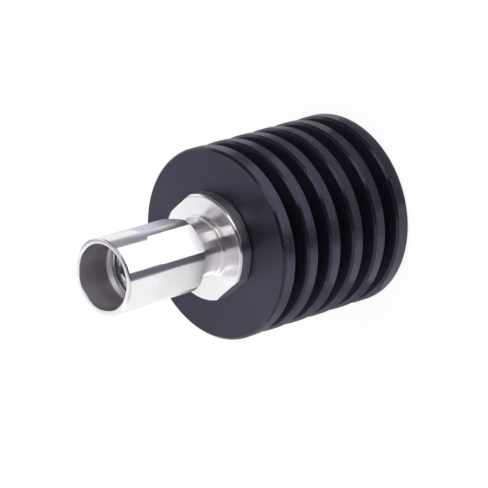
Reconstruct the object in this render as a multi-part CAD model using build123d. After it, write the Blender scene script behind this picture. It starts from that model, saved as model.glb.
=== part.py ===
from build123d import *
import os
from math import radians, tan

# A coaxial terminator: a screw-on plug that ends a 50 ohm line in a resistor, with a
# turned heat sink that carries the resistor's heat away. Sizes are in millimetres.
# The part stands on the flat rear face of its heat sink. Every turned piece has its
# axis on Z, the rear face is at Z 0 and the mouth of the plug points up.

# Heat sink: one turned bar with ring fins
sink_diameter = 33.0
sink_core_diameter = 19.0
fin_count = 6
fin_thickness = 2.6
end_fin_thickness = 2.9
fin_gap = 2.8
fin_chamfer = 0.4

# Flange of the plug body, with two wrench flats
flange_diameter = 18.2
flange_across_flats = 17.0
flange_thickness = 2.7
flange_front_chamfer = 0.3
flange_rear_chamfer = 0.25
shoulder_width = 0.5
shoulder_height = 0.7
shoulder_chamfer = 0.25
neck_length = 4.2

# Front barrel of the body, which the nut turns on and backs onto the neck's step
neck_step = 0.55
barrel_wall = 0.47
barrel_chamfer = 0.2
ring_groove_depth = 0.6
ring_groove_width = 1.0
ring_groove_height = 1.4
ring_groove_to_contact = 0.8

# Threaded shank that screws into the heat sink
shank_wall = 2.0
shank_length = 9.0
shank_chamfer = 0.6
thread_clearance = 0.05

# Coaxial line inside the body
line_bore_diameter = 6.8
bead_thickness = 2.0
bead_seat_width = 0.6
air_line_pin_diameter = 2.95
dielectric_pin_diameter = 2.08
bead_pin_diameter = 2.0
assembly_clearance = 0.02

# Slotted outer contact, pressed into the barrel
contact_wall = 0.68
contact_seat_depth = 1.4
contact_projection = 6.2
contact_slot_count = 4
contact_slot_width = 0.5
contact_slot_depth = 4.2
contact_slot_angle = 70.0
contact_lip_chamfer = 0.15

# Centre pin and its front insulator
pin_tip_diameter = 1.37
pin_point_diameter = 0.5
pin_point_length = 0.7
pin_tip_recess = 0.6
front_insulator_length = 3.4
front_insulator_seat = 2.0

# Coupling nut
nut_length = 17.5
nut_wall_at_flats = 0.4
nut_land_height = 0.55
nut_flat_length = 11.0
nut_flat_cutter_diameter = 8.0
nut_flat_angle = 30.0
nut_rear_gap = 0.35
nut_rear_chamfer = 0.35
nut_mouth_step = 0.5
nut_mouth_depth = 6.0
nut_mouth_outer_chamfer = 0.25
nut_mouth_inner_chamfer = 0.12
nut_thread_lead_in = 0.8
gasket_seat_width = 0.55
nut_running_clearance = 0.08
nut_groove_depth = 0.6
nut_groove_play = 0.1
nut_step_play = 0.2

# Snap ring that holds the nut on, and the gasket at the foot of its thread
snap_ring_thickness = 0.8
snap_ring_radial_width = 0.9
snap_ring_gap_angle = 40.0
gasket_thickness = 1.2
gasket_clearance = 0.06

# Load: a ceramic rod resistor in a tapered sleeve
taper_front_diameter = 5.6
taper_rear_land = 2.0
rod_diameter = 2.4
rod_length = 14.6
cap_wall = 0.2
cap_depth = 1.4
cap_end_thickness = 0.5
front_cap_nib_diameter = 1.1
front_cap_nib_length = 1.2
rear_cap_nib_diameter = 1.6
rear_cap_nib_length = 1.6
pin_tail_length = 1.4
ground_plug_diameter = 5.0
ground_plug_length = 3.0
ground_plug_recess = 0.6
sink_bore_clearance = 0.3

# Diameters, each worked out from the one inside it
contact_diameter = line_bore_diameter + 2 * contact_wall
barrel_diameter = contact_diameter + 2 * barrel_wall
neck_diameter = barrel_diameter + 2 * neck_step
shoulder_diameter = neck_diameter + 2 * shoulder_width
nut_thread_minor_diameter = barrel_diameter + 2 * gasket_seat_width
nut_mouth_diameter = nut_thread_minor_diameter + 2 * nut_mouth_step
nut_across_flats = nut_mouth_diameter + 2 * nut_wall_at_flats
nut_diameter = nut_across_flats + 2 * nut_land_height
sleeve_diameter = line_bore_diameter + 2 * bead_seat_width
shank_diameter = sleeve_diameter + 2 * shank_wall

# Heights that several pieces share
fin_pitch = fin_thickness + fin_gap
sink_length = 2 * end_fin_thickness + (fin_count - 1) * fin_pitch - fin_thickness
flange_top = sink_length + flange_thickness
shoulder_top = flange_top + shoulder_height
neck_top = shoulder_top + neck_length
ring_groove_base = neck_top + ring_groove_height
ring_groove_top = ring_groove_base + ring_groove_width
contact_base = ring_groove_top + ring_groove_to_contact
barrel_top = contact_base + contact_seat_depth
contact_top = barrel_top + contact_projection
nut_base = neck_top + nut_rear_gap
nut_top = nut_base + nut_length
shank_base = sink_length - shank_length
bead_top = sink_length + flange_thickness / 2
bead_base = bead_top - bead_thickness
pin_tail_base = bead_base - pin_tail_length
cap_diameter = rod_diameter + 2 * cap_wall
front_cap_top = pin_tail_base
rod_top = front_cap_top - cap_end_thickness
rod_base = rod_top - rod_length
rear_cap_base = rod_base - cap_end_thickness
plug_top = rear_cap_base
sleeve_base = plug_top - ground_plug_length - ground_plug_recess


def turned(outline):
    """Solid of revolution about Z from points of radius and height."""
    face = make_face(Plane.XZ * Polyline(*outline, close=True))
    return revolve(face, Axis.Z, 360)


def tube(inner_diameter, outer_diameter, base, top):
    """Plain ring about Z between two heights."""
    return turned([
        (inner_diameter / 2, base),
        (outer_diameter / 2, base),
        (outer_diameter / 2, top),
        (inner_diameter / 2, top),
    ])


def rod(diameter, base, top):
    """Plain cylinder on Z between two heights."""
    return Pos(0, 0, base) * Cylinder(
        diameter / 2, top - base, align=(Align.CENTER, Align.CENTER, Align.MIN))


def fin_faces(fin):
    """Heights of one fin's two faces, counted from the rear. The end fins are thicker."""
    base = 0 if fin == 0 else end_fin_thickness + fin * fin_pitch - fin_thickness
    thickness = end_fin_thickness if fin in (0, fin_count - 1) else fin_thickness
    return base, base + thickness


def heat_sink():
    """Turned bar with ring fins, bored from the front for the plug body and the load."""
    rim = sink_diameter / 2
    core = sink_core_diameter / 2
    outline = [(0, 0)]
    for fin in range(fin_count):
        base, top = fin_faces(fin)
        foot = [] if fin == 0 else [(core, base)]
        outline += foot + [
            (rim - fin_chamfer, base),
            (rim, base + fin_chamfer),
            (rim, top - fin_chamfer),
            (rim - fin_chamfer, top),
        ]
        outline += [] if fin == fin_count - 1 else [(core, top)]
    outline.append((0, sink_length))
    blank = turned(outline)
    shank_hole = rod(shank_diameter, shank_base - sink_bore_clearance, sink_length)
    sleeve_hole = rod(
        sleeve_diameter + 2 * assembly_clearance,
        sleeve_base - sink_bore_clearance,
        sink_length)
    return blank - shank_hole - sleeve_hole


def flange():
    """Disc with two opposite wrench flats, whose rims were chamfered in the lathe."""
    radius = flange_diameter / 2
    disc = turned([
        (0, sink_length),
        (radius - flange_rear_chamfer, sink_length),
        (radius, sink_length + flange_rear_chamfer),
        (radius, flange_top - flange_front_chamfer),
        (radius - flange_front_chamfer, flange_top),
        (0, flange_top),
    ])
    jaws = Pos(0, 0, sink_length) * Box(
        flange_across_flats, flange_diameter, flange_thickness,
        align=(Align.CENTER, Align.CENTER, Align.MIN))
    return disc & jaws


def connector_body():
    """Flange, neck, barrel and threaded shank in one turned piece."""
    shank_radius = shank_diameter / 2 - thread_clearance
    shoulder_radius = shoulder_diameter / 2
    neck_radius = neck_diameter / 2
    barrel_radius = barrel_diameter / 2
    groove_radius = barrel_radius - ring_groove_depth
    front = turned([
        (0, flange_top),
        (shoulder_radius, flange_top),
        (shoulder_radius, shoulder_top - shoulder_chamfer),
        (shoulder_radius - shoulder_chamfer, shoulder_top),
        (neck_radius, shoulder_top),
        (neck_radius, neck_top),
        (barrel_radius, neck_top),
        (barrel_radius, ring_groove_base),
        (groove_radius, ring_groove_base),
        (groove_radius, ring_groove_top),
        (barrel_radius, ring_groove_top),
        (barrel_radius, barrel_top - barrel_chamfer),
        (barrel_radius - barrel_chamfer, barrel_top),
        (0, barrel_top),
    ])
    shank = turned([
        (0, shank_base),
        (shank_radius - shank_chamfer, shank_base),
        (shank_radius, shank_base + shank_chamfer),
        (shank_radius, sink_length),
        (0, sink_length),
    ])
    line_bore = rod(line_bore_diameter, bead_top, barrel_top)
    contact_seat = rod(contact_diameter, contact_base, barrel_top)
    sleeve_bore = rod(sleeve_diameter + 2 * assembly_clearance, shank_base, bead_top)
    return front + flange() + shank - line_bore - contact_seat - sleeve_bore


def outer_contact():
    """Spring tube around the pin, slotted from its free end into fingers."""
    outer = contact_diameter / 2
    inner = line_bore_diameter / 2
    fingers = turned([
        (inner, contact_base),
        (outer, contact_base),
        (outer, contact_top - contact_lip_chamfer),
        (outer - contact_lip_chamfer, contact_top),
        (inner + contact_lip_chamfer, contact_top),
        (inner, contact_top - contact_lip_chamfer),
    ])
    slot = Pos(0, 0, contact_top) * Box(
        contact_diameter, contact_slot_width, contact_slot_depth,
        align=(Align.MIN, Align.CENTER, Align.MAX))
    for step in range(contact_slot_count):
        turn = contact_slot_angle + step * 360 / contact_slot_count
        fingers -= Rot(0, 0, turn) * slot
    return fingers


def front_insulator():
    """Dielectric washer that centres the pin where the outer contact begins."""
    base = contact_base - front_insulator_seat
    return tube(
        dielectric_pin_diameter + 2 * assembly_clearance,
        line_bore_diameter - 2 * assembly_clearance,
        base,
        base + front_insulator_length)


def support_bead():
    """Rear washer that carries the pin and closes the line against the load."""
    return tube(
        bead_pin_diameter + 2 * assembly_clearance,
        sleeve_diameter,
        bead_base,
        bead_top)


def centre_pin():
    """Stepped pin with a tapered point in front and a socket for the resistor behind."""
    insulator_base = contact_base - front_insulator_seat
    insulator_top = insulator_base + front_insulator_length
    tip_top = contact_top - pin_tip_recess
    tip_radius = pin_tip_diameter / 2
    pin = turned([
        (0, pin_tail_base),
        (bead_pin_diameter / 2, pin_tail_base),
        (bead_pin_diameter / 2, bead_top),
        (air_line_pin_diameter / 2, bead_top),
        (air_line_pin_diameter / 2, insulator_base),
        (dielectric_pin_diameter / 2, insulator_base),
        (dielectric_pin_diameter / 2, insulator_top),
        (tip_radius, insulator_top),
        (tip_radius, tip_top - pin_point_length),
        (pin_point_diameter / 2, tip_top),
        (0, tip_top),
    ])
    socket = rod(
        front_cap_nib_diameter + 2 * assembly_clearance,
        pin_tail_base,
        pin_tail_base + front_cap_nib_length + assembly_clearance)
    return pin - socket


def coupling_nut():
    """Turned sleeve with six milled flats, a plain mouth and a threaded middle."""
    outer = nut_diameter / 2
    mouth = nut_mouth_diameter / 2
    minor = nut_thread_minor_diameter / 2
    throat = barrel_diameter / 2 + nut_running_clearance
    groove = throat + nut_groove_depth
    groove_base = ring_groove_base - nut_groove_play
    groove_top = ring_groove_top + nut_groove_play
    thread_top = nut_top - nut_mouth_depth
    sleeve = turned([
        (throat, nut_base),
        (outer - nut_rear_chamfer, nut_base),
        (outer, nut_base + nut_rear_chamfer),
        (outer, nut_top - nut_mouth_outer_chamfer),
        (outer - nut_mouth_outer_chamfer, nut_top),
        (mouth + nut_mouth_inner_chamfer, nut_top),
        (mouth, nut_top - nut_mouth_inner_chamfer),
        (mouth, thread_top),
        (minor, thread_top - nut_thread_lead_in),
        (minor, barrel_top - nut_step_play),
        (throat, barrel_top - nut_step_play),
        (throat, groove_top),
        (groove, groove_top),
        (groove, groove_base),
        (throat, groove_base),
    ])
    for step in range(6):
        sleeve -= Rot(0, 0, nut_flat_angle + 60 * step) * nut_flat_cutter()
    return sleeve


def nut_flat_cutter():
    """Path of an end mill that cuts one flat and stops in its own round."""
    reach = nut_diameter / 2
    radius = nut_flat_cutter_diameter / 2
    centre_height = nut_base + nut_flat_length - radius
    path = Pos(nut_across_flats / 2, 0, nut_base) * Box(
        reach, nut_flat_cutter_diameter, centre_height - nut_base,
        align=(Align.MIN, Align.CENTER, Align.MIN))
    end = Pos(nut_across_flats / 2, 0, centre_height) * Rot(0, 90, 0) * Cylinder(
        radius, reach, align=(Align.CENTER, Align.CENTER, Align.MIN))
    return path + end


def snap_ring():
    """Split spring ring that sits half in the barrel's groove and half in the nut's."""
    groove_radius = barrel_diameter / 2 - ring_groove_depth
    inner = groove_radius + nut_running_clearance
    base = ring_groove_base + (ring_groove_width - snap_ring_thickness) / 2
    ring = tube(
        2 * inner, 2 * (inner + snap_ring_radial_width), base, base + snap_ring_thickness)
    reach = 2 * (inner + snap_ring_radial_width)
    half_gap = reach * tan(radians(snap_ring_gap_angle / 2))
    gap = extrude(
        Pos(0, 0, base) * make_face(Polyline(
            (0, 0), (reach, -half_gap), (reach, half_gap), close=True)),
        snap_ring_thickness)
    return ring - gap


def sealing_gasket():
    """Rubber washer on the front of the barrel, round the outer contact."""
    return tube(
        contact_diameter + 2 * gasket_clearance,
        nut_thread_minor_diameter - 2 * gasket_clearance,
        barrel_top,
        barrel_top + gasket_thickness)


def taper_sleeve():
    """Outer conductor of the load, whose bore narrows along the resistor."""
    outer = sleeve_diameter / 2
    narrow = cap_diameter / 2 + assembly_clearance
    return turned([
        (taper_front_diameter / 2, bead_base),
        (narrow, plug_top + taper_rear_land),
        (narrow, plug_top),
        (ground_plug_diameter / 2, plug_top),
        (ground_plug_diameter / 2, sleeve_base),
        (outer, sleeve_base),
        (outer, bead_base),
    ])


def resistor_rod():
    """Ceramic rod that carries the resistive film."""
    return rod(rod_diameter, rod_base, rod_top)


def end_cap(nib_diameter, nib_length):
    """Metal cup that opens downwards over a rod end, with a nib on its closed side."""
    inner = rod_diameter / 2 + assembly_clearance
    outer = cap_diameter / 2
    nib = nib_diameter / 2
    return turned([
        (0, 0),
        (inner, 0),
        (inner, -cap_depth),
        (outer, -cap_depth),
        (outer, cap_end_thickness),
        (nib, cap_end_thickness),
        (nib, cap_end_thickness + nib_length),
        (0, cap_end_thickness + nib_length),
    ])


def resistor_front_cap():
    """Cap on the rod's front end, plugged into the centre pin."""
    return Pos(0, 0, rod_top) * end_cap(front_cap_nib_diameter, front_cap_nib_length)


def resistor_rear_cap():
    """Cap on the rod's rear end, held in the ground plug."""
    turned_over = Rot(180, 0, 0) * end_cap(rear_cap_nib_diameter, rear_cap_nib_length)
    return Pos(0, 0, rod_base) * turned_over


def ground_plug():
    """Screw plug that clamps the rear cap and carries its heat to the sleeve."""
    return tube(
        rear_cap_nib_diameter + 2 * assembly_clearance,
        ground_plug_diameter - 2 * thread_clearance,
        plug_top - ground_plug_length,
        plug_top)


parts = {
    "heat_sink": heat_sink,
    "connector_body": connector_body,
    "coupling_nut": coupling_nut,
    "snap_ring": snap_ring,
    "sealing_gasket": sealing_gasket,
    "outer_contact": outer_contact,
    "front_insulator": front_insulator,
    "centre_pin": centre_pin,
    "support_bead": support_bead,
    "taper_sleeve": taper_sleeve,
    "resistor_rod": resistor_rod,
    "resistor_front_cap": resistor_front_cap,
    "resistor_rear_cap": resistor_rear_cap,
    "ground_plug": ground_plug,
}

os.makedirs("parts", exist_ok=True)
for name, build in parts.items():
    solid = build()
    solid.label = name
    export_step(solid, f"parts/{name}.step")
    print(f"{name:20s} {solid.volume:10.2f} mm3")
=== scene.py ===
# %% [markdown]
# # A coaxial terminator, dressed for the camera
#
# The part is a screw-on plug with a black finned heat sink behind it. Its real shape comes from
# the CAD frame. Here each piece that shows gets the fine form and the finish of the real one.

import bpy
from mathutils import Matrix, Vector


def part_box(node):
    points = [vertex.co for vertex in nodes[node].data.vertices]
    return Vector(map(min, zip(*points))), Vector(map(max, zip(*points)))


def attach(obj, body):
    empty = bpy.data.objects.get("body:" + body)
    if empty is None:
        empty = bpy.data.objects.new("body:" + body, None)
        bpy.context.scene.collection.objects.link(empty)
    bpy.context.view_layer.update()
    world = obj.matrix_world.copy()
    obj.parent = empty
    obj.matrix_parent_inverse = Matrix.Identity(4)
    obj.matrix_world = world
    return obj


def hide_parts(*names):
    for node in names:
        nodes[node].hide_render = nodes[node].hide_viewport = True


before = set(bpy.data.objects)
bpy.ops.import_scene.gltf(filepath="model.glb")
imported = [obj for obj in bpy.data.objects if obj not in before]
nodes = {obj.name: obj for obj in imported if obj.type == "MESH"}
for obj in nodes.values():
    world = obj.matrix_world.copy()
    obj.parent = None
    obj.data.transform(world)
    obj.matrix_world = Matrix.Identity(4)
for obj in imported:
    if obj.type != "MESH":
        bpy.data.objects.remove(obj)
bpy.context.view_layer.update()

# %% Libraries and the unit
from math import cos, pi, radians, sin, tau

import bmesh
import bpy
from mathutils import Matrix, Quaternion, Vector

MM = 0.001
scene = bpy.context.scene

# %% [markdown]
# ## Sizes that the frame gives
#
# The frame knows where every CAD piece starts and ends, so heights and radii are read from its
# boxes. Only what a box can't say, such as a fin's thickness, is written here again, in
# millimetres, as in the CAD.

# %% Sizes in millimetres
def reach(node):
    """Widest radius and the two heights of a round CAD piece, in millimetres."""
    low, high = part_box(node)
    return max(high.x, high.y) / MM, low.z / MM, high.z / MM


sink_radius, sink_base, sink_top = reach("heat_sink")
flange_radius, shank_base, barrel_top = reach("connector_body")
nut_radius, nut_base, nut_top = reach("coupling_nut")
contact_radius, contact_base, _ = reach("outer_contact")
sleeve_radius, sleeve_base, _ = reach("taper_sleeve")
half_across_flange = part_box("connector_body")[1].x / MM

fin_count = 6
fin_thickness = 2.6
end_fin_thickness = 2.9
core_radius = 9.5
sleeve_clearance = 0.02
fins_alone = 2 * end_fin_thickness + (fin_count - 2) * fin_thickness
fin_gap = (sink_top - sink_base - fins_alone) / (fin_count - 1)
print("fins", fin_count, "gap", round(fin_gap, 3), "sink radius", round(sink_radius, 3))

# %% [markdown]
# ## Turned pieces
#
# Almost everything here comes off a lathe. On a lathe a tool follows an outline while the bar
# turns. In Blender the same is done by drawing half of the section as a few points and spinning
# it round the axis. A cylinder primitive would be quicker, but it has no rounded corners, and a
# corner without a small radius never catches light. So each point carries its own corner radius.

# %% Spin an outline
RING_STEPS = 192


def outline_mesh(points):
    """Half section in the XZ plane from points of radius, height and corner radius in mm."""
    bm = bmesh.new()
    corners = [bm.verts.new((radius * MM, 0, height * MM)) for radius, height, _ in points]
    joined = zip(corners, corners[1:] + corners[:1])
    for start, end in joined:
        if start.co.x > 0 or end.co.x > 0:
            bm.edges.new((start, end))
    for rounding in sorted({point[2] for point in points} - {0}):
        chosen = [v for v, point in zip(corners, points) if v.is_valid and point[2] == rounding]
        bmesh.ops.bevel(
            bm, geom=chosen, offset=rounding * MM, offset_type="OFFSET", affect="VERTICES",
            segments=3, profile=0.5, clamp_overlap=True, material=-1)
    return bm


def spin(bm, steps=RING_STEPS):
    """Turns the half section into a closed ring about Z."""
    bmesh.ops.spin(
        bm, geom=bm.verts[:] + bm.edges[:], cent=(0, 0, 0), axis=(0, 0, 1), dvec=(0, 0, 0),
        angle=tau, steps=steps, use_merge=True, use_duplicate=False)
    bmesh.ops.remove_doubles(bm, verts=bm.verts, dist=0.0005 * MM)
    bmesh.ops.recalc_face_normals(bm, faces=bm.faces)
    return bm


# %% [markdown]
# A smooth-shaded ring needs its normals kept square on the wide faces, or each rounded corner
# smears its shade across the whole fin. The Weighted Normal modifier does that. It is applied at
# once, so that the finished piece is a plain mesh.

# %% Turn a bmesh into a finished piece
def add_piece(bm, name, sharp_angle=40):
    """Object from a bmesh, smooth but for edges sharper than the angle in degrees."""
    mesh = bpy.data.meshes.new(name)
    bm.to_mesh(mesh)
    bm.free()
    mesh.shade_smooth()
    mesh.set_sharp_from_angle(angle=radians(sharp_angle))
    piece = bpy.data.objects.new(name, mesh)
    scene.collection.objects.link(piece)
    return piece


def apply_modifiers(piece):
    """Bakes a piece's modifiers into its mesh."""
    evaluated = piece.evaluated_get(bpy.context.evaluated_depsgraph_get())
    made = bpy.data.meshes.new_from_object(evaluated)
    piece.modifiers.clear()
    piece.data = made
    print(piece.name, len(made.polygons), "faces")
    return piece


def square_normals(piece):
    """Keeps the shade of wide faces from bending at their rounded corners."""
    weighted = piece.modifiers.new("square normals", "WEIGHTED_NORMAL")
    weighted.keep_sharp = True
    weighted.weight = 100
    return apply_modifiers(piece)


# %% [markdown]
# ## Heat sink
#
# One aluminium bar, grooved with a parting tool into six ring fins and bored from the front for
# the plug. The tool leaves a small radius at each groove's root, and every fin has a narrow
# chamfer on both edges, which draws the bright lines along the fins. Six separate discs on a
# tube would look the same from afar, but the real one is a single piece, so it is one outline
# and one spin.

# %% Build the heat sink
fin_chamfer = 0.4
edge_break = 0.05
groove_root = 0.3
sink_bore_radius = 6.0
bore_clearance = 0.3


def fin_faces(fin):
    """Heights of one fin's two faces, counted from the rear. The end fins are thicker."""
    pitch = fin_thickness + fin_gap
    base = sink_base if fin == 0 else sink_base + end_fin_thickness + fin * pitch - fin_thickness
    return base, base + (end_fin_thickness if fin in (0, fin_count - 1) else fin_thickness)


def heat_sink_outline():
    """From the middle of the rear face, out over the fins and back down into the bore."""
    points = [(0, sink_base, 0)]
    for fin in range(fin_count):
        base, top = fin_faces(fin)
        if fin > 0:
            points.append((core_radius, base, groove_root))
        points += [
            (sink_radius - fin_chamfer, base, edge_break),
            (sink_radius, base + fin_chamfer, edge_break),
            (sink_radius, top - fin_chamfer, edge_break),
            (sink_radius - fin_chamfer, top, edge_break),
        ]
        if fin < fin_count - 1:
            points.append((core_radius, top, groove_root))
    seat_radius = sleeve_radius + sleeve_clearance
    seat_base, bore_base = sleeve_base - bore_clearance, shank_base - bore_clearance
    return points + [
        (sink_bore_radius, sink_top, 0),
        (sink_bore_radius, bore_base, 0),
        (seat_radius, bore_base, 0),
        (seat_radius, seat_base, 0),
        (0, seat_base, 0),
    ]


finned_sink = square_normals(
    add_piece(spin(outline_mesh(heat_sink_outline())), "finned_sink", 30))
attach(finned_sink, "terminator")
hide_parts("heat_sink")

# %% [markdown]
# ## Plug body
#
# The flange, the shoulder and the neck were turned together, and the two wrench flats milled
# last. Spinning first and then cutting the disc with two planes follows the same order, so the
# turned chamfers end where the flats begin, as on the real flange. Each chamfer is polished
# softly where it meets the front face and left sharp outside, so one bright line runs round it.

# %% Build the plug body
shank_radius = 5.95
shank_chamfer = 0.6
flange_thickness = 2.7
flange_top = sink_top + flange_thickness
rear_chamfer = 0.25
front_chamfer = 0.3
shoulder_radius = 5.6
shoulder_top = flange_top + 0.7
shoulder_chamfer = 0.25
neck_radius = 5.1
neck_top = nut_base - 0.35
barrel_radius = 4.55
barrel_chamfer = 0.2
groove_base = neck_top + 1.4
groove_top = groove_base + 1.0
groove_depth = 0.6
line_bore_radius = 3.4
bead_top = sink_top + flange_thickness / 2
sharp_corner = 0.04
soft_corner = 0.3


def body_outline():
    """Round the body's section: up the outside, down the bore."""
    groove_floor = barrel_radius - groove_depth
    return [
        (shank_radius - shank_chamfer, shank_base, 0),
        (shank_radius, shank_base + shank_chamfer, 0),
        (shank_radius, sink_top, 0),
        (flange_radius - rear_chamfer, sink_top, sharp_corner),
        (flange_radius, sink_top + rear_chamfer, sharp_corner),
        (flange_radius, flange_top - front_chamfer, sharp_corner),
        (flange_radius - front_chamfer, flange_top, soft_corner),
        (shoulder_radius, flange_top, 0.12),
        (shoulder_radius, shoulder_top - shoulder_chamfer, sharp_corner),
        (shoulder_radius - shoulder_chamfer, shoulder_top, soft_corner),
        (neck_radius, shoulder_top, 0.1),
        (neck_radius, neck_top, 0.06),
        (barrel_radius, neck_top, 0),
        (barrel_radius, groove_base, 0),
        (groove_floor, groove_base, 0),
        (groove_floor, groove_top, 0),
        (barrel_radius, groove_top, 0),
        (barrel_radius, barrel_top - barrel_chamfer, 0),
        (barrel_radius - barrel_chamfer, barrel_top, 0),
        (contact_radius, barrel_top, 0),
        (contact_radius, contact_base, 0),
        (line_bore_radius, contact_base, 0),
        (line_bore_radius, bead_top, 0),
        (sleeve_radius + sleeve_clearance, bead_top, 0),
        (sleeve_radius + sleeve_clearance, shank_base, 0),
    ]


def mill_flange_flats(bm):
    """Cuts the disc at two planes and closes each cut with one flat face."""
    for side in (-1, 1):
        cut = bmesh.ops.bisect_plane(
            bm, geom=bm.verts[:] + bm.edges[:] + bm.faces[:], dist=0.0001 * MM,
            plane_co=(side * half_across_flange * MM, 0, 0), plane_no=(side, 0, 0),
            clear_outer=True)
        rim = [item for item in cut["geom_cut"] if isinstance(item, bmesh.types.BMEdge)]
        bmesh.ops.edgeloop_fill(bm, edges=rim)
    bmesh.ops.recalc_face_normals(bm, faces=bm.faces)
    return bm


plug_body = square_normals(
    add_piece(mill_flange_flats(spin(outline_mesh(body_outline()))), "plug_body", 35))
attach(plug_body, "terminator")
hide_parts("connector_body")

# %% [markdown]
# ## Coupling nut
#
# A turned sleeve with six milled flats and a thread inside. An end mill cuts each flat from the
# rear and leaves its own round at the front end, which shows as a curved step. The cutter's path
# is a solid of its own here, a long round-ended plate, and a Boolean takes it away, as the mill
# did. Modelling the flats by moving vertices would leave the round ends to guesswork.

# %% Build the nut's sleeve
thread_top = nut_top - 6.0
thread_minor_radius = 5.1
lead_in = 0.8
mouth_radius = 5.6
mouth_chamfer = 0.12
nose_chamfer = 0.25
tail_chamfer = 0.35
throat_radius = 4.63
throat_top = barrel_top - 0.2
nut_groove_radius = 5.23
end_play = 0.1


def nut_outline():
    """Round the nut's section: up the outside, down the mouth, the thread and the throat."""
    return [
        (throat_radius, nut_base, 0),
        (nut_radius - tail_chamfer, nut_base, 0.06),
        (nut_radius, nut_base + tail_chamfer, 0.06),
        (nut_radius, nut_top - nose_chamfer, sharp_corner),
        (nut_radius - nose_chamfer, nut_top, soft_corner),
        (mouth_radius + mouth_chamfer, nut_top, edge_break),
        (mouth_radius, nut_top - mouth_chamfer, edge_break),
        (mouth_radius, thread_top, edge_break),
        (thread_minor_radius, thread_top - lead_in, edge_break),
        (thread_minor_radius, throat_top, 0),
        (throat_radius, throat_top, 0),
        (throat_radius, groove_top + end_play, 0),
        (nut_groove_radius, groove_top + end_play, 0),
        (nut_groove_radius, groove_base - end_play, 0),
        (throat_radius, groove_base - end_play, 0),
    ]


# %% The end mill's path for one flat
half_across_nut = 6.0
flat_length = 11.0
mill_radius = 4.0
mill_overrun = 2
mill_depth = 3
first_flat = 30


def mill_path(angle):
    """Round-ended plate that stands outside one flat, turned to its angle in degrees."""
    bm = bmesh.new()
    circle = bmesh.ops.create_circle(
        bm, cap_ends=True, radius=mill_radius * MM, segments=96,
        matrix=Matrix.Rotation(pi / 2, 4, "Y"))
    run_in = flat_length - mill_radius + mill_overrun
    lower = [v for v in circle["verts"] if v.co.z < -1e-7]
    bmesh.ops.translate(bm, verts=lower, vec=(0, 0, -run_in * MM))
    grown = bmesh.ops.extrude_face_region(bm, geom=bm.faces[:])
    outer = [item for item in grown["geom"] if isinstance(item, bmesh.types.BMVert)]
    bmesh.ops.translate(bm, verts=outer, vec=(mill_depth * MM, 0, 0))
    centre = (half_across_nut * MM, 0, (nut_base + flat_length - mill_radius) * MM)
    bmesh.ops.translate(bm, verts=bm.verts, vec=centre)
    bmesh.ops.rotate(bm, verts=bm.verts, matrix=Matrix.Rotation(radians(angle), 3, "Z"))
    bmesh.ops.recalc_face_normals(bm, faces=bm.faces)
    return bm


def cut_away(piece, tool):
    """Takes one solid out of another with an exact Boolean and throws the tool away."""
    boolean = piece.modifiers.new("cut", "BOOLEAN")
    boolean.operation = "DIFFERENCE"
    boolean.solver = "EXACT"
    boolean.object = tool
    apply_modifiers(piece)
    bpy.data.objects.remove(tool)
    return piece


def break_milled_edges(piece):
    """Narrow bevel on the square edges that the mill left. It draws the line round each flat."""
    broken = piece.modifiers.new("broken edges", "BEVEL")
    broken.width = 0.12 * MM
    broken.segments = 2
    broken.profile = 0.5
    broken.limit_method = "ANGLE"
    broken.angle_limit = radians(60)
    return apply_modifiers(piece)


NUT_SHARP = 14
nut = add_piece(spin(outline_mesh(nut_outline())), "milled_nut", NUT_SHARP)
for flat in range(6):
    cut_away(nut, add_piece(mill_path(first_flat + 60 * flat), "mill_path", NUT_SHARP))
break_milled_edges(nut)

# %% [markdown]
# ## Coupling thread
#
# The thread is a V groove that winds up the bore: 28 turns to the inch, so 0.907 mm from turn to
# turn. A spun profile that also rises a little with every step is a helix, and the same Boolean
# cuts it into the wall. It breaks out through the cone at the front, which is how a real
# thread starts.

# %% Cut the thread
thread_pitch = 25.4 / 28
thread_major_radius = 5.5
steps_per_turn = 96
thread_start = barrel_top + 1.5
thread_turns = 8
tool_overlap = 0.15
half_mouth_of_v = 0.46 * thread_pitch
half_root_of_v = 0.07 * thread_pitch


def thread_tool():
    """Helical solid with a V section, wide at the bore and narrow in the wall."""
    bm = bmesh.new()
    section = [
        (thread_minor_radius - tool_overlap, -half_mouth_of_v),
        (thread_major_radius, -half_root_of_v),
        (thread_major_radius, half_root_of_v),
        (thread_minor_radius - tool_overlap, half_mouth_of_v),
    ]
    corners = [bm.verts.new((r * MM, 0, (thread_start + z) * MM)) for r, z in section]
    bm.faces.new(corners)
    rise = thread_pitch / steps_per_turn
    bmesh.ops.spin(
        bm, geom=bm.verts[:] + bm.edges[:] + bm.faces[:], cent=(0, 0, 0), axis=(0, 0, 1),
        dvec=(0, 0, rise * MM), angle=tau * thread_turns, steps=steps_per_turn * thread_turns,
        use_merge=False, use_duplicate=False)
    bmesh.ops.recalc_face_normals(bm, faces=bm.faces)
    heights = [v.co.z / MM for v in bm.verts]
    print("thread from", round(min(heights), 2), "to", round(max(heights), 2), "mm")
    return bm


cut_away(nut, add_piece(thread_tool(), "thread_tool", NUT_SHARP))
nut.data.shade_smooth()
nut.data.set_sharp_from_angle(angle=radians(NUT_SHARP))
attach(nut, "nut")
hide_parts("coupling_nut")

# %% [markdown]
# ## Colours and nodes
#
# Colours are written as the hex codes that a picture editor shows. Blender's sockets want them
# linear, so one function turns them. One more function adds a node with its settings and links,
# which keeps each material readable from top to bottom.

# %% Colour and node helpers
def linear(hex_code):
    """sRGB hex colour as linear red, green, blue and alpha."""
    channels = [int(hex_code[i:i + 2], 16) / 255 for i in (1, 3, 5)]
    return [c / 12.92 if c <= 0.04045 else ((c + 0.055) / 1.055) ** 2.4 for c in channels] + [1]


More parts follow.
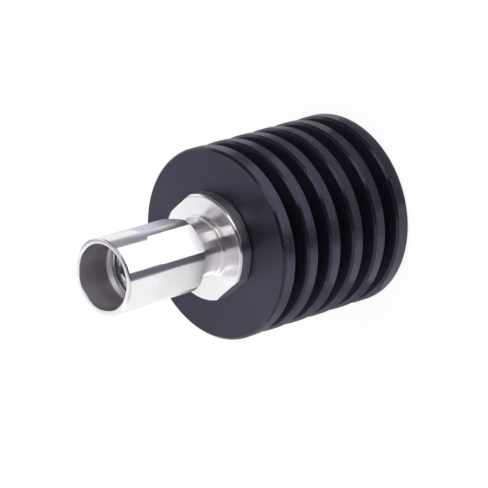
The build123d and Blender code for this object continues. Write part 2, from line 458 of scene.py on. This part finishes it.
def add_node(tree, kind, settings=None, inputs=None):
    """One node, with its properties set and its sockets given values or linked."""
    made = tree.nodes.new("ShaderNode" + kind)
    for name, value in (settings or {}).items():
        setattr(made, name, value)
    for socket, value in (inputs or {}).items():
        if isinstance(value, bpy.types.NodeSocket):
            tree.links.new(value, made.inputs[socket])
        else:
            made.inputs[socket].default_value = value
    return made


def new_material(name):
    """Empty material and its node tree."""
    material = bpy.data.materials.new(name)
    material.use_nodes = True
    material.node_tree.nodes.clear()
    return material, material.node_tree


# %% [markdown]
# ## Turning lines
#
# A lathe tool leaves a fine spiral: rings on a flat face, hoops on a round one. Both come from one
# pattern that only knows the distance from the axis and the height, because one of the two
# stays the same on any turned face. The direction round the axis, which the glossy highlight
# needs, is the point's own position turned by a quarter. The Tangent node could give it, but it
# reads Generated coordinates, and those follow the box of the piece and not its axis.

# %% Lathe marks
def lathe_marks(tree, spacing_mm):
    """Object position, hoops about spacing_mm apart, and the direction round the axis."""
    position = add_node(tree, "TexCoord").outputs["Object"]
    split = add_node(tree, "SeparateXYZ", inputs={"Vector": position})
    flat = add_node(tree, "CombineXYZ", inputs={"X": split.outputs["X"], "Y": split.outputs["Y"]})
    radius = add_node(
        tree, "VectorMath", {"operation": "LENGTH"}, {0: flat.outputs[0]}).outputs["Value"]
    profile = add_node(tree, "CombineXYZ", inputs={"X": radius, "Y": split.outputs["Z"]})
    hoops = add_node(
        tree, "TexNoise", {"noise_dimensions": "2D"},
        {"Vector": profile.outputs[0], "Scale": 1 / (spacing_mm * MM), "Detail": 2.0,
         "Roughness": 0.6})
    minus_y = add_node(
        tree, "Math", {"operation": "MULTIPLY"}, {0: split.outputs["Y"], 1: -1.0}).outputs[0]
    around = add_node(tree, "CombineXYZ", inputs={"X": minus_y, "Y": split.outputs["X"]})
    around_world = add_node(
        tree, "VectorTransform",
        {"vector_type": "VECTOR", "convert_from": "OBJECT", "convert_to": "WORLD"},
        {"Vector": around.outputs[0]})
    return position, hoops.outputs["Fac"], around_world.outputs[0]


# %% [markdown]
# ## Black anodised aluminium
#
# Anodising grows a thin clear oxide on the turned metal and dyes it black, so the surface is a
# dark dye under a satin skin, and the turning lines still show through it. The dye is never quite
# neutral: this one leans to violet, and so does its shine. The lines spread the shine across
# themselves and hardly along themselves, which is why a turned face shows light and dark
# sectors. The real feed is about 0.1 mm a turn, which is finer than a pixel, so the lines are
# drawn 0.3 mm apart and the grain in them 0.4 mm.
#
# One function makes three finishes. Along the turning lines the dye is lifted towards a paler
# tone, which is partly wear and partly painted sheen. On the rims that tone is paler still: a
# painted sheen along the rims. On the chamfers the thin oxide has chipped in places down to the
# bare metal.

# %% Material of the heat sink
sink_line_mm = 0.3
sink_grain_mm = 0.4
chip_mm = 0.7
fresh_dye = "#15121b"
bare_aluminium = "#c9c6cf"


def black_anodised(name, smooth, coarse, wear_and_sheen_tone, nick_level):
    """Dyed oxide on turned metal, lifted along its lines towards a tone that is part wear, part
    painted sheen. Above nick_level bare metal shows.
    """
    material, tree = new_material(name)
    position, hoops, around = lathe_marks(tree, sink_line_mm)
    grain = add_node(
        tree, "TexNoise",
        inputs={"Vector": position, "Scale": 1 / (sink_grain_mm * MM), "Detail": 3.0})
    # Noise keeps near its middle, so only its middle range is used and the marks grow stronger.
    lines = add_node(
        tree, "MapRange", inputs={"Value": hoops, "From Min": 0.35, "From Max": 0.65})
    specks = add_node(
        tree, "MapRange",
        inputs={"Value": grain.outputs["Fac"], "From Min": 0.35, "From Max": 0.65})
    # The lines lift the dye towards the paler tone: partly wear, partly painted sheen.
    wear_and_sheen_streaks = add_node(
        tree, "Math", {"operation": "MULTIPLY"}, {0: lines.outputs[0], 1: specks.outputs[0]})
    dye = add_node(
        tree, "Mix", {"data_type": "RGBA"},
        {0: wear_and_sheen_streaks.outputs[0], 6: linear(fresh_dye), 7: linear(wear_and_sheen_tone)})
    chips = add_node(
        tree, "TexNoise", inputs={"Vector": position, "Scale": 1 / (chip_mm * MM), "Detail": 2.0})
    bare = add_node(
        tree, "MapRange",
        inputs={"Value": chips.outputs["Fac"], "From Min": nick_level,
                "From Max": nick_level + 0.04})
    tone = add_node(
        tree, "Mix", {"data_type": "RGBA"},
        {0: bare.outputs[0], 6: dye.outputs[2], 7: linear(bare_aluminium)})
    roughness = add_node(
        tree, "MapRange", inputs={"Value": hoops, "To Min": smooth, "To Max": coarse})
    bump = add_node(
        tree, "Bump", inputs={"Height": hoops, "Strength": 0.25, "Distance": 0.02 * MM})
    skin = add_node(
        tree, "BsdfPrincipled",
        inputs={"Base Color": tone.outputs[2], "Metallic": bare.outputs[0],
                "Roughness": roughness.outputs[0], "IOR": 1.7,
                "Specular Tint": linear("#ddd5ff"), "Anisotropic": 0.8,
                "Anisotropic Rotation": 0.25, "Tangent": around, "Normal": bump.outputs[0]})
    add_node(tree, "OutputMaterial", inputs={"Surface": skin.outputs[0]})
    return material


# %% [markdown]
# ## White-metal plating
#
# The plug is brass under a bright copper, tin and zinc plating, a little warmer and darker than
# silver. It was turned before it was plated, so its shine is a mirror with fine hoops in it: they
# blur what it mirrors along the axis and leave it sharp round the axis. Real hoops are finer than
# a pixel, so they are drawn 0.22 mm apart. Down in the bore the bath plates thinner, so the
# inside is duller too.

# %% Material of the plug
plug_line_mm = 0.22
cloud_mm = 3


def white_metal_plating(name, dark, light, smooth, coarse, grain, stretch):
    """Plated and turned metal between two tones, with hoops of two roughnesses."""
    material, tree = new_material(name)
    position, hoops, around = lathe_marks(tree, plug_line_mm)
    clouds = add_node(
        tree, "TexNoise", inputs={"Vector": position, "Scale": 1 / (cloud_mm * MM), "Detail": 2.0})
    tone = add_node(
        tree, "Mix", {"data_type": "RGBA"},
        {0: clouds.outputs["Fac"], 6: linear(dark), 7: linear(light)})
    roughness = add_node(
        tree, "MapRange", inputs={"Value": hoops, "To Min": smooth, "To Max": coarse})
    bump = add_node(
        tree, "Bump", inputs={"Height": hoops, "Strength": grain, "Distance": 0.01 * MM})
    metal = add_node(
        tree, "BsdfPrincipled",
        inputs={"Base Color": tone.outputs[2], "Metallic": 1.0, "Roughness": roughness.outputs[0],
                "Anisotropic": stretch, "Anisotropic Rotation": 0.25, "Tangent": around,
                "Normal": bump.outputs[0]})
    add_node(tree, "OutputMaterial", inputs={"Surface": metal.outputs[0]})
    return material


# %% [markdown]
# ## Materials inside the plug
#
# Little of the inside shows, but each piece is still what it is: a white dielectric, a black
# rubber ring, turned brass, spring bronze and a dark resistive film on ceramic.

# %% Materials of the inner pieces
inner_line_mm = 0.15


def plain_turned_metal(name, dark, light, roughness):
    """Bare copper alloy as it comes off the lathe."""
    material, tree = new_material(name)
    _, hoops, around = lathe_marks(tree, inner_line_mm)
    tone = add_node(
        tree, "Mix", {"data_type": "RGBA"}, {0: hoops, 6: linear(dark), 7: linear(light)})
    metal = add_node(
        tree, "BsdfPrincipled",
        inputs={"Base Color": tone.outputs[2], "Metallic": 1.0, "Roughness": roughness,
                "Anisotropic": 0.4, "Anisotropic Rotation": 0.25, "Tangent": around})
    add_node(tree, "OutputMaterial", inputs={"Surface": metal.outputs[0]})
    return material


def grained_solid(name, dark, light, roughness, grain_mm, ior):
    """Plastic, rubber or film with a fine grain in its colour and its surface."""
    material, tree = new_material(name)
    position = add_node(tree, "TexCoord").outputs["Object"]
    grain = add_node(
        tree, "TexNoise", inputs={"Vector": position, "Scale": 1 / (grain_mm * MM), "Detail": 3.0})
    tone = add_node(
        tree, "Mix", {"data_type": "RGBA"},
        {0: grain.outputs["Fac"], 6: linear(dark), 7: linear(light)})
    bump = add_node(
        tree, "Bump",
        inputs={"Height": grain.outputs["Fac"], "Strength": 0.2, "Distance": 0.01 * MM})
    body = add_node(
        tree, "BsdfPrincipled",
        inputs={"Base Color": tone.outputs[2], "Roughness": roughness, "IOR": ior,
                "Normal": bump.outputs[0]})
    add_node(tree, "OutputMaterial", inputs={"Surface": body.outputs[0]})
    return material


# %% [markdown]
# ## Dress the pieces
#
# Most pieces have one finish all over. Two have other ones on some of their faces, which are
# picked by where they lie: the rims and the chamfers of the fins, and the bore and the thread of
# the nut.

# %% Assign the materials
def dress(piece, *materials):
    """Gives a piece its materials in place of what it had."""
    piece.data.materials.clear()
    for material in materials:
        piece.data.materials.append(material)


def give_finish(piece, place, chosen):
    """Puts the material at one place of the piece's list on the faces that the test chooses."""
    faces = [face for face in piece.data.polygons if chosen(face)]
    for face in faces:
        face.material_index = place
    print(piece.name, len(faces), "faces in", piece.data.materials[place].name)


def is_fin_chamfer(face):
    """Sloping face near a fin's edge."""
    return 0.3 < abs(face.normal.z) < 0.95 and face.center.xy.length > (sink_radius - 0.5) * MM


def is_fin_rim(face):
    """Upright face at a fin's full radius."""
    return abs(face.normal.z) < 0.3 and face.center.xy.length > (sink_radius - 0.1) * MM


def is_nut_bore(face):
    """Any face inside the nut."""
    return face.center.xy.length < (mouth_radius + 0.05) * MM


def is_nut_thread(face):
    """Face inside the nut behind its plain mouth."""
    return is_nut_bore(face) and face.center.z < (thread_top - 0.02) * MM


plating = white_metal_plating(
    "white_metal_plated_nut", "#eceaec", "#f7f6f8", 0.18, 0.24, 0.12, 0.95)
body_plating = white_metal_plating(
    "white_metal_plated_body", "#f0edef", "#faf8fa", 0.19, 0.24, 0.05, 0.9)
bore_plating = white_metal_plating("plated_bore", "#cac5ca", "#dfdbdf", 0.34, 0.42, 0.1, 0.3)
thread_plating = white_metal_plating(
    "satin_plated_thread", "#efedef", "#fbf9fb", 0.3, 0.38, 0.1, 0.2)
contact_plating = white_metal_plating(
    "plated_contact_alloy", "#dddbdf", "#efedf0", 0.16, 0.24, 0.1, 0.5)
turned_brass = plain_turned_metal("turned_brass", "#a88340", "#d1ab62", 0.3)
spring_bronze = plain_turned_metal("spring_bronze", "#93643d", "#c08a5a", 0.35)
dielectric = grained_solid("white_fluoropolymer", "#d8d6d0", "#f0eee9", 0.5, 0.4, 1.38)
rubber = grained_solid("black_nitrile_rubber", "#101011", "#262628", 0.7, 0.2, 1.5)
film = grained_solid("resistive_film_on_ceramic", "#201d1a", "#3e3934", 0.6, 0.3, 1.5)

dress(
    finned_sink,
    black_anodised("black_anodised_aluminium", 0.3, 0.42, "#2a2731", 0.82),
    # The rims' paler tone is painted sheen.
    black_anodised("anodised_rim_with_painted_sheen", 0.32, 0.44, "#474352", 0.82),
    black_anodised("nicked_anodised_edge", 0.2, 0.3, "#2a2731", 0.73))
give_finish(finned_sink, 1, is_fin_rim)
give_finish(finned_sink, 2, is_fin_chamfer)
dress(plug_body, body_plating)
dress(nut, plating, bore_plating, thread_plating)
give_finish(nut, 1, is_nut_bore)
give_finish(nut, 2, is_nut_thread)
inner_finish = {
    "outer_contact": contact_plating,
    "centre_pin": contact_plating,
    "front_insulator": dielectric,
    "support_bead": dielectric,
    "sealing_gasket": rubber,
    "snap_ring": spring_bronze,
    "taper_sleeve": turned_brass,
    "resistor_front_cap": turned_brass,
    "resistor_rear_cap": turned_brass,
    "ground_plug": turned_brass,
    "resistor_rod": film,
}
for node_name, finish in inner_finish.items():
    dress(nodes[node_name], finish)

# %% [markdown]
# ## Camera
#
# The photo looks at the plug from the front and a little above, with a long lens. The part
# stands on its rear face here, so the camera looks down on it and is rolled until the plug
# points left, as in the photo. Azimuth, height, roll and distance come from the ellipses of
# the fins.

# %% Place the camera
aim = Vector((-0.9, 1.8, 22.4)) * MM
camera_distance = 634.4 * MM
camera_azimuth = -17.19
camera_elevation = 42.3
camera_roll = -106.7
focal_length = 277.2


def camera_back():
    """Direction from the part to the camera."""
    azimuth, elevation = radians(camera_azimuth), radians(camera_elevation)
    return Vector((
        sin(azimuth) * cos(elevation), -cos(azimuth) * cos(elevation), sin(elevation)))


camera_data = bpy.data.cameras.new("camera")
camera_data.lens = focal_length
camera_data.sensor_width = 36
camera_data.clip_start = 10 * MM
camera_data.clip_end = 10
camera = bpy.data.objects.new("camera", camera_data)
scene.collection.objects.link(camera)
level = (-camera_back()).to_track_quat("-Z", "Y")
camera.rotation_mode = "QUATERNION"
camera.rotation_quaternion = level @ Quaternion((0, 0, 1), radians(camera_roll))
camera.location = aim + camera_back() * camera_distance
scene.camera = camera
print("camera at", [round(value / MM, 1) for value in camera.location])

# %% [markdown]
# ## Floor and light
#
# The part stands on a white floor that goes on to the horizon. The camera, mirrors and glass see
# the floor mostly as plain white, with a share of its true shade, so that the soft shadow under the
# part stays. Everything else is lit by the pale sky and by two large soft boxes.

# %% Floor and sky
shadow_share = 0.25
white_level = 1.16


def seen_rays(tree):
    """1 for rays from the camera and from mirrors and glass, 0 for the rest."""
    path = add_node(tree, "LightPath")
    first = add_node(
        tree, "Math", {"operation": "MAXIMUM"},
        {0: path.outputs["Is Camera Ray"], 1: path.outputs["Is Glossy Ray"]})
    both = add_node(
        tree, "Math", {"operation": "MAXIMUM"},
        {0: first.outputs[0], 1: path.outputs["Is Transmission Ray"]})
    return both.outputs[0]


def white_floor():
    """White paper that the camera and the mirrors see almost free of shade."""
    material, tree = new_material("white_paper")
    paper = add_node(tree, "BsdfDiffuse", inputs={"Color": linear("#f4f4f4")})
    white = add_node(tree, "Emission", inputs={"Color": (1, 1, 1, 1), "Strength": white_level})
    shown = add_node(
        tree, "MixShader", inputs={0: shadow_share, 1: white.outputs[0], 2: paper.outputs[0]})
    both = add_node(
        tree, "MixShader", inputs={0: seen_rays(tree), 1: paper.outputs[0], 2: shown.outputs[0]})
    add_node(tree, "OutputMaterial", inputs={"Surface": both.outputs[0]})
    return material


floor_bm = bmesh.new()
bmesh.ops.create_circle(floor_bm, cap_ends=True, radius=4, segments=96)
floor = add_piece(floor_bm, "floor")
dress(floor, white_floor())

world = bpy.data.worlds.new("studio")
scene.world = world
world.use_nodes = True
sky = world.node_tree
sky.nodes.clear()
ambient = 0.55
level_of_sky = add_node(
    sky, "MapRange", inputs={"Value": seen_rays(sky), "To Min": ambient, "To Max": 1.0})
background = add_node(
    sky, "Background", inputs={"Color": (1, 1, 1, 1), "Strength": level_of_sky.outputs[0]})
add_node(sky, "OutputWorld", inputs={"Surface": background.outputs[0]})

# %% [markdown]
# Soft boxes are area lamps. Each is named for the side of the part that it lights and placed
# by its azimuth and height, so that moving one is a matter of one number.

# %% Soft boxes
def soft_box(name, azimuth, elevation, distance, width, radiance):
    """Square area lamp that faces the part. Radiance is the brightness of its face."""
    lamp = bpy.data.lights.new(name, "AREA")
    lamp.shape = "SQUARE"
    lamp.size = width
    lamp.energy = radiance * pi * width ** 2
    made = bpy.data.objects.new(name, lamp)
    scene.collection.objects.link(made)
    turn, rise = radians(azimuth), radians(elevation)
    towards = Vector((cos(turn) * cos(rise), sin(turn) * cos(rise), sin(rise)))
    made.location = Vector((0, 0, 0.03)) + towards * distance
    made.rotation_mode = "QUATERNION"
    made.rotation_quaternion = (-towards).to_track_quat("-Z", "Y")
    made.visible_camera = False
    return made


soft_box("key_box", -46, 30, 0.9, 0.5, 2.4)
soft_box("fill_box", 150, 35, 1.0, 0.6, 1.2)

# %% [markdown]
# Polished metal shows what stands round it. In an all-white room it would look like paper, so
# a photographer puts cards beside it, out of the frame, and each one draws a line or a band
# along the metal. Only mirrors see the cards: they take no light from the part and cast no
# shadow. A card may fade towards its far side, as one does that stands at a slant to its lamp.

# %% Helpers for the cards
hoop_azimuth = -41.2
card_height_mm = 0.2
far_foot = Vector((cos(radians(hoop_azimuth + 90)), sin(radians(hoop_azimuth + 90)), 0))


def lay_card(bm, name, colour, far_colour=None, brightness=1.0):
    """Makes a card of the bmesh that is seen by mirrors alone. It may fade to a far colour."""
    bmesh.ops.recalc_face_normals(bm, faces=bm.faces)
    print(name, "reaches", round(max(v.co.length for v in bm.verts) / MM), "mm")
    card = add_piece(bm, name)
    material, tree = new_material(name + "_paper")
    position = add_node(tree, "TexCoord").outputs["Object"]
    along = add_node(
        tree, "VectorMath", {"operation": "DOT_PRODUCT"}, {0: position, 1: far_foot[:]})
    fade = add_node(
        tree, "MapRange",
        inputs={"Value": along.outputs["Value"], "From Min": -0.2, "From Max": 0.5})
    tone = add_node(
        tree, "Mix", {"data_type": "RGBA"},
        {0: fade.outputs[0], 6: linear(colour), 7: linear(far_colour or colour)})
    paper = add_node(
        tree, "Emission", inputs={"Color": tone.outputs[2], "Strength": brightness})
    add_node(tree, "OutputMaterial", inputs={"Surface": paper.outputs[0]})
    dress(card, material)
    card.visible_camera = False
    card.visible_diffuse = False
    card.visible_shadow = False
    return card


def floor_card(name, start, end, inner_mm, outer_mm, colour, brightness=1.0):
    """Sector of a ring on the floor, from one azimuth to another."""
    bm = bmesh.new()
    edge = [bm.verts.new((r * MM, 0, card_height_mm * MM)) for r in (inner_mm, outer_mm)]
    bm.edges.new(edge)
    bmesh.ops.rotate(bm, verts=bm.verts, matrix=Matrix.Rotation(radians(start), 3, "Z"))
    bmesh.ops.spin(
        bm, geom=bm.verts[:] + bm.edges[:], cent=(0, 0, 0), axis=(0, 0, 1), dvec=(0, 0, 0),
        angle=radians(end - start), steps=24, use_merge=False, use_duplicate=False)
    return lay_card(bm, name, colour, brightness=brightness)


def hoop_card(name, low, high, radius_mm, start, end, colour, far_colour=None):
    """Band over the part between two side angles, from one angle to another along the hoop."""
    side = Vector((cos(radians(hoop_azimuth)), sin(radians(hoop_azimuth)), 0))
    bm = bmesh.new()
    edge = [
        bm.verts.new(
            (far_foot * cos(radians(angle)) + side * sin(radians(angle))) * radius_mm * MM)
        for angle in (low, high)]
    bm.edges.new(edge)
    bmesh.ops.rotate(bm, verts=bm.verts, matrix=Matrix.Rotation(radians(start), 3, side))
    bmesh.ops.spin(
        bm, geom=bm.verts[:] + bm.edges[:], cent=(0, 0, 0), axis=side, dvec=(0, 0, 0),
        angle=radians(end - start), steps=48, use_merge=False, use_duplicate=False)
    return lay_card(bm, name, colour, far_colour)


def wall_card(name, start, end, low, high, radius_mm, colour, brightness=1.0):
    """Curved wall round the part, between two azimuths and two heights in degrees."""
    bm = bmesh.new()
    bmesh.ops.create_circle(bm, cap_ends=False, radius=radius_mm * MM, segments=120)
    bmesh.ops.rotate(bm, verts=bm.verts, matrix=Matrix.Rotation(pi / 2, 3, "X"))
    outside = [
        v for v in bm.verts
        if v.co.x < 0 or not sin(radians(low)) <= v.co.z / (radius_mm * MM) <= sin(radians(high))]
    bmesh.ops.delete(bm, geom=outside, context="VERTS")
    bmesh.ops.rotate(bm, verts=bm.verts, matrix=Matrix.Rotation(radians(start), 3, "Z"))
    bmesh.ops.spin(
        bm, geom=bm.verts[:] + bm.edges[:], cent=(0, 0, 0), axis=(0, 0, 1), dvec=(0, 0, 0),
        angle=radians(end - start), steps=48, use_merge=False, use_duplicate=False)
    return lay_card(bm, name, colour, brightness=brightness)


# %% [markdown]
# A dark hoop goes over the part from floor to floor, and the front face of the heat sink and the
# flange mirror it. Dark walls on the camera's side darken the chamfers and the mouth, and the
# bright window in front of them draws the pale band round the neck. The round sides of the plug
# and of the fins mirror the floor, so the other cards lie there: the light one makes the white
# flats, and the grey, dark and pale ones make the stripes between them.

# %% Lay out the cards
hoop_card("dark_hoop", -7, 13, 550, 0, 180, "#4c4652", "#b0afc8")
wall_card("dark_front", -132, -40, 6, 82, 600, "#1d1b20")
wall_card("bright_window", -90, -54, 33, 52, 580, "#ffffff", 2.2)
wall_card("dark_side", -40, 8, 6, 60, 600, "#4a464e")
wall_card("grey_side", -185, -132, 4, 75, 600, "#cdcbd1")
wall_card("table_side", 140, 175, 4, 65, 600, "#d4d2d8")
floor_card("light_card", -117.2, -41.8, 46, 560, "#ffffff", 1.8)
floor_card("near_card", -117.2, -41.8, 17, 46, "#85828c")
floor_card("grey_card", -41.8, -7.7, 24, 46, "#958f98")
floor_card("narrow_grey_card", -41.8, -16, 46, 60, "#958f98")
floor_card("far_grey_card", -41.8, -10, 60, 220, "#8d8790")
floor_card("dark_card", -139.9, -117.2, 24, 560, "#6c6674")
floor_card("pale_card", 31, 58, 24, 60, "#b3b4de")
floor_card("under_card", 120, 180, 17, 46, "#8c8a94")

# %% [markdown]
# ## Colour management
#
# The Standard view keeps each written colour as it is.

# %% Finish
scene.view_settings.view_transform = "Standard"
